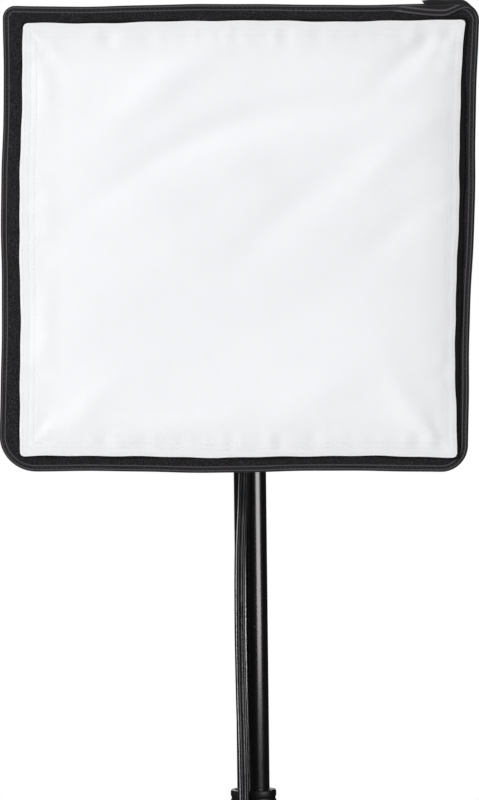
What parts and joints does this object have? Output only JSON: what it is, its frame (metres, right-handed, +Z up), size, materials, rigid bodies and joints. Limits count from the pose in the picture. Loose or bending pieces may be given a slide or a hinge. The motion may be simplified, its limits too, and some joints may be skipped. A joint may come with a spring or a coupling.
{
  "type": "studio softbox",
  "caption": "Small square softbox with a white front diffuser on a tilting lamp holder, carried by a telescoping light stand with folding legs, with a mains cord.",
  "frame": {"origin": "on the floor, at the centre of the stand's footprint and of the box around the object without its cord", "axes": "+Z up along the stand's tubes; the softbox faces -Y; +X is to the right seen from the front"},
  "size_m": [0.5404, 0.4709, 1.053],
  "materials": {
    "gloss_black_tube": "gloss",
    "black_plastic": "satin",
    "black_nylon": "matte",
    "loop_tape": "matte",
    "white_nylon": "matte",
    "rubber": "matte",
    "cord_jacket": "satin",
    "steel": "satin",
    "brass": "satin",
    "ceramic": "gloss",
    "opal": "satin",
    "white_plastic": "satin"
  },
  "bodies": {
    "stand_base": {"lower_tube": "gloss_black_tube", "lower_tube_end_plug": "rubber", "lower_lock_collar": "black_plastic", "brace_hub": "black_plastic", "cord_coil": "cord_jacket", "plug_body": "black_plastic", "plug_blade_left": "brass", "plug_blade_right": "brass", "power_cord_lower": "cord_jacket"},
    "middle_section": {"middle_tube": "gloss_black_tube", "middle_lock_collar": "black_plastic", "power_cord_upper": "cord_jacket"},
    "top_section": {"top_tube": "gloss_black_tube", "spigot": "steel"},
    "adapter": {"stand_adapter": "black_plastic", "tilt_nut": "steel"},
    "lamp_head": {"head_knuckle": "black_plastic", "head_housing": "black_plastic", "rear_cover": "black_plastic", "switch_bezel": "black_plastic", "lamp_socket": "ceramic", "socket_screw_shell": "brass", "cord_gland": "black_plastic", "mounting_ring": "black_plastic", "rib_socket_top_right": "steel", "rib_socket_top_left": "steel", "rib_socket_bottom_left": "steel", "rib_socket_bottom_right": "steel", "rib_top_right": "steel", "rib_top_left": "steel", "rib_bottom_left": "steel", "rib_bottom_right": "steel", "fabric_shell": "black_nylon", "edge_binding": "black_nylon", "loop_tape": "loop_tape"},
    "diffuser": {"front_diffuser": "white_nylon", "diffuser_hook_tape": "loop_tape"},
    "rocker": {"power_rocker": "black_plastic"},
    "bulb": {"bulb_base": "steel", "bulb_body": "white_plastic", "bulb_globe": "opal"},
    "lever": {"tilt_lever": "black_plastic", "tilt_bolt": "steel"},
    "spigot_clamp": {"spigot_clamp_knob": "black_plastic"},
    "top_lock": {"top_tube_lock_knob": "black_plastic"},
    "middle_lock": {"middle_tube_lock_knob": "black_plastic"},
    "leg_slider": {"leg_collar": "black_plastic", "leg_pin_front": "steel", "leg_pin_right": "steel", "leg_pin_left": "steel"},
    "leg_lock": {"leg_collar_lock_knob": "black_plastic"},
    "front_leg": {"leg_front": "gloss_black_tube", "foot_front": "rubber"},
    "front_brace": {"brace_front": "gloss_black_tube"},
    "right_leg": {"leg_right": "gloss_black_tube", "foot_right": "rubber"},
    "right_brace": {"brace_right": "gloss_black_tube"},
    "left_leg": {"leg_left": "gloss_black_tube", "foot_left": "rubber"},
    "left_brace": {"brace_left": "gloss_black_tube"}
  },
  "joints": [
    {"name": "middle_tube_slide", "type": "slide", "parent": "stand_base", "child": "middle_section", "axis": [0, 0, 1], "range_m": [0, 0.26], "deforming": ["power_cord_lower"]},
    {"name": "top_tube_slide", "type": "slide", "parent": "middle_section", "child": "top_section", "axis": [0, 0, 1], "range_m": [-0.22, 0.07], "deforming": ["power_cord_upper"]},
    {"name": "adapter_swivel", "type": "hinge", "parent": "top_section", "child": "adapter", "pos_m": [0, 0.075, 0.797], "axis": [0, 0, 1], "range_deg": [-170, 170]},
    {"name": "head_tilt", "type": "hinge", "parent": "adapter", "child": "lamp_head", "pos_m": [0, 0.075, 0.847], "axis": [1, 0, 0], "range_deg": [-60, 45]},
    {"name": "tilt_lever_turn", "type": "hinge", "parent": "adapter", "child": "lever", "pos_m": [0, 0.075, 0.847], "axis": [1, 0, 0], "range_deg": [-60, 60]},
    {"name": "spigot_clamp_turn", "type": "hinge", "parent": "adapter", "child": "spigot_clamp", "pos_m": [0, 0.105, 0.803], "axis": [0, 1, 0], "range_deg": [-180, 180]},
    {"name": "top_lock_turn", "type": "hinge", "parent": "middle_section", "child": "top_lock", "pos_m": [0, 0.105, 0.516], "axis": [0, 1, 0], "range_deg": [-180, 180]},
    {"name": "middle_lock_turn", "type": "hinge", "parent": "stand_base", "child": "middle_lock", "pos_m": [0, 0.105, 0.468], "axis": [0, 1, 0], "range_deg": [-180, 180]},
    {"name": "leg_lock_turn", "type": "hinge", "parent": "leg_slider", "child": "leg_lock", "pos_m": [0, 0.105, 0.255], "axis": [0, 1, 0], "range_deg": [-180, 180]},
    {"name": "rocker_press", "type": "hinge", "parent": "lamp_head", "child": "rocker", "pos_m": [0, 0.1119, 0.905], "axis": [1, 0, 0], "range_deg": [-18, 0]},
    {"name": "bulb_unscrew", "type": "hinge", "parent": "lamp_head", "child": "bulb", "pos_m": [0, 0.015, 0.905], "axis": [0, -1, 0], "range_deg": [0, 720]},
    {"name": "diffuser_peel", "type": "slide", "parent": "lamp_head", "child": "diffuser", "axis": [0, -1, 0], "range_m": [0, 0.06]},
    {"name": "leg_collar_slide", "type": "slide", "parent": "stand_base", "child": "leg_slider", "axis": [0, 0, 1], "range_m": [0, 0.1597]},
    {"name": "front_leg_fold", "type": "hinge", "parent": "leg_slider", "child": "front_leg", "pos_m": [0, 0.045, 0.255], "axis": [1, 0, 0], "range_deg": [0, 45.1]},
    {"name": "right_leg_fold", "type": "hinge", "parent": "leg_slider", "child": "right_leg", "pos_m": [0.02598, 0.09, 0.255], "axis": [-0.5, 0.866, 0], "range_deg": [0, 45.1]},
    {"name": "left_leg_fold", "type": "hinge", "parent": "leg_slider", "child": "left_leg", "pos_m": [-0.02598, 0.09, 0.255], "axis": [-0.5, -0.866, 0], "range_deg": [0, 45.1]},
    {"name": "front_brace_fold", "type": "hinge", "parent": "stand_base", "child": "front_brace", "pos_m": [0, 0.045, 0.076], "axis": [-1, 0, 0], "range_deg": [0, 66.96]},
    {"name": "right_brace_fold", "type": "hinge", "parent": "stand_base", "child": "right_brace", "pos_m": [0.02598, 0.09, 0.076], "axis": [0.5, -0.866, 0], "range_deg": [0, 66.96]},
    {"name": "left_brace_fold", "type": "hinge", "parent": "stand_base", "child": "left_brace", "pos_m": [-0.02598, 0.09, 0.076], "axis": [0.5, 0.866, 0], "range_deg": [0, 66.96]}
  ],
  "couplings": [
    {"joint": "front_leg_fold", "follows": "leg_collar_slide", "rad_per_m": 4.9231},
    {"joint": "right_leg_fold", "follows": "leg_collar_slide", "rad_per_m": 4.9231},
    {"joint": "left_leg_fold", "follows": "leg_collar_slide", "rad_per_m": 4.9231},
    {"joint": "front_brace_fold", "follows": "leg_collar_slide", "rad_per_m": 7.3126},
    {"joint": "right_brace_fold", "follows": "leg_collar_slide", "rad_per_m": 7.3126},
    {"joint": "left_brace_fold", "follows": "leg_collar_slide", "rad_per_m": 7.3126}
  ]
}
